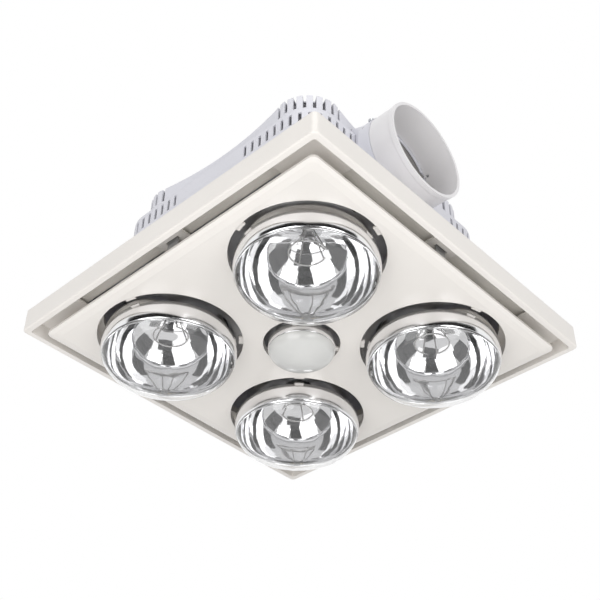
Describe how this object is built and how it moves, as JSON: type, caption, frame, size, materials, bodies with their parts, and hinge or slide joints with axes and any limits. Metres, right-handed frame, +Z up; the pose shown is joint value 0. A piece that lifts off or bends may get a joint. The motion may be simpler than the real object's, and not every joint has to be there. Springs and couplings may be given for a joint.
{
  "type": "bathroom heat lamp",
  "caption": "Recessed ceiling heater with reflector heat lamps round a centre light, a square front panel and an exhaust fan that blows out through a side duct collar.",
  "frame": {"origin": "middle of the unit on the ceiling plane, where the housing flange and the front frame rest", "axes": "+Z up into the roof space, the lamps face -Z, the exhaust duct leaves along -Y, +X to the right seen from the duct side"},
  "size_m": [0.368, 0.368, 0.2158],
  "materials": {
    "ivory_plastic": "moulded, satin",
    "housing_white": "moulded, fine grain",
    "collar_white": "smooth moulded",
    "shield_aluminium": "rolled sheet",
    "black_plastic": "moulded",
    "terminal_plastic": "moulded",
    "grey_plastic": "moulded",
    "lamp_glass": "clear front, silvered back",
    "frosted_glass": "clear front, silvered back",
    "cap_brass": "rolled thread",
    "bush_brass": "sintered",
    "filament_wire": "drawn wire on a glass stem",
    "ceramic": "glazed ceramic",
    "zinc_steel": "zinc plated",
    "spring_steel": "spring steel"
  },
  "bodies": {
    "housing": {"bracket_screws": "zinc_steel", "cable_gland": "grey_plastic", "centre_bracket": "zinc_steel", "centre_lamp_holder": "ceramic", "centre_screws": "zinc_steel", "collar_screws": "zinc_steel", "cover_screws": "zinc_steel", "duct_collar": "collar_white", "fan_motor": "zinc_steel", "fan_screws": "zinc_steel", "frame_screws": "zinc_steel", "front_frame": "ivory_plastic", "heat_shield": "shield_aluminium", "holder_screws": "zinc_steel", "housing_base": "housing_white", "housing_cover": "housing_white", "lamp_bracket_1": "zinc_steel", "lamp_bracket_2": "zinc_steel", "lamp_bracket_3": "zinc_steel", "lamp_bracket_4": "zinc_steel", "lamp_holder_1": "ceramic", "lamp_holder_2": "ceramic", "lamp_holder_3": "ceramic", "lamp_holder_4": "ceramic", "lid_screws": "zinc_steel", "motor_bush": "bush_brass", "motor_plate": "zinc_steel", "motor_screws": "zinc_steel", "outlet_duct": "housing_white", "scroll_case": "black_plastic", "shield_screws": "zinc_steel", "terminal_block": "terminal_plastic", "terminal_box": "housing_white", "terminal_lid": "housing_white", "thermal_cutout": "black_plastic"},
    "front_panel": {"front_panel": "ivory_plastic", "panel_clips": "spring_steel"},
    "impeller": {"impeller": "black_plastic", "fan_shaft": "zinc_steel", "shaft_nut": "zinc_steel"},
    "flap": {"backdraught_flap": "grey_plastic", "flap_pin": "zinc_steel"},
    "centre_lamp": {"centre_lamp": "frosted_glass", "centre_lamp_cap": "cap_brass"},
    "heat_lamp_1": {"heat_lamp_1": "lamp_glass", "heat_lamp_cap_1": "cap_brass", "heat_lamp_filament_1": "filament_wire"},
    "heat_lamp_2": {"heat_lamp_2": "lamp_glass", "heat_lamp_cap_2": "cap_brass", "heat_lamp_filament_2": "filament_wire"},
    "heat_lamp_3": {"heat_lamp_3": "lamp_glass", "heat_lamp_cap_3": "cap_brass", "heat_lamp_filament_3": "filament_wire"},
    "heat_lamp_4": {"heat_lamp_4": "lamp_glass", "heat_lamp_cap_4": "cap_brass", "heat_lamp_filament_4": "filament_wire"}
  },
  "joints": [
    {"name": "panel_drop", "type": "slide", "parent": "housing", "child": "front_panel", "axis": [0, 0, -1], "range_m": [0, 0.06]},
    {"name": "fan_spin", "type": "hinge", "parent": "housing", "child": "impeller", "pos_m": [0.008, 0, 0.114], "axis": [0, 0, 1], "continuous": true},
    {"name": "flap_swing", "type": "hinge", "parent": "housing", "child": "flap", "pos_m": [-0.0245, -0.139, 0.1078], "axis": [-1, 0, 0], "range_deg": [0, 60]},
    {"name": "heat_lamp_1_turn", "type": "hinge", "parent": "housing", "child": "heat_lamp_1", "pos_m": [0.0862, 0.0862, 0.09], "axis": [0, 0, -1], "range_deg": [0, 1080]},
    {"name": "heat_lamp_2_turn", "type": "hinge", "parent": "housing", "child": "heat_lamp_2", "pos_m": [-0.0862, 0.0862, 0.09], "axis": [0, 0, -1], "range_deg": [0, 1080]},
    {"name": "heat_lamp_3_turn", "type": "hinge", "parent": "housing", "child": "heat_lamp_3", "pos_m": [-0.0862, -0.0862, 0.09], "axis": [0, 0, -1], "range_deg": [0, 1080]},
    {"name": "heat_lamp_4_turn", "type": "hinge", "parent": "housing", "child": "heat_lamp_4", "pos_m": [0.0862, -0.0862, 0.09], "axis": [0, 0, -1], "range_deg": [0, 1080]},
    {"name": "centre_lamp_turn", "type": "hinge", "parent": "housing", "child": "centre_lamp", "pos_m": [0, 0, 0.042], "axis": [0, 0, -1], "range_deg": [0, 1080]}
  ]
}
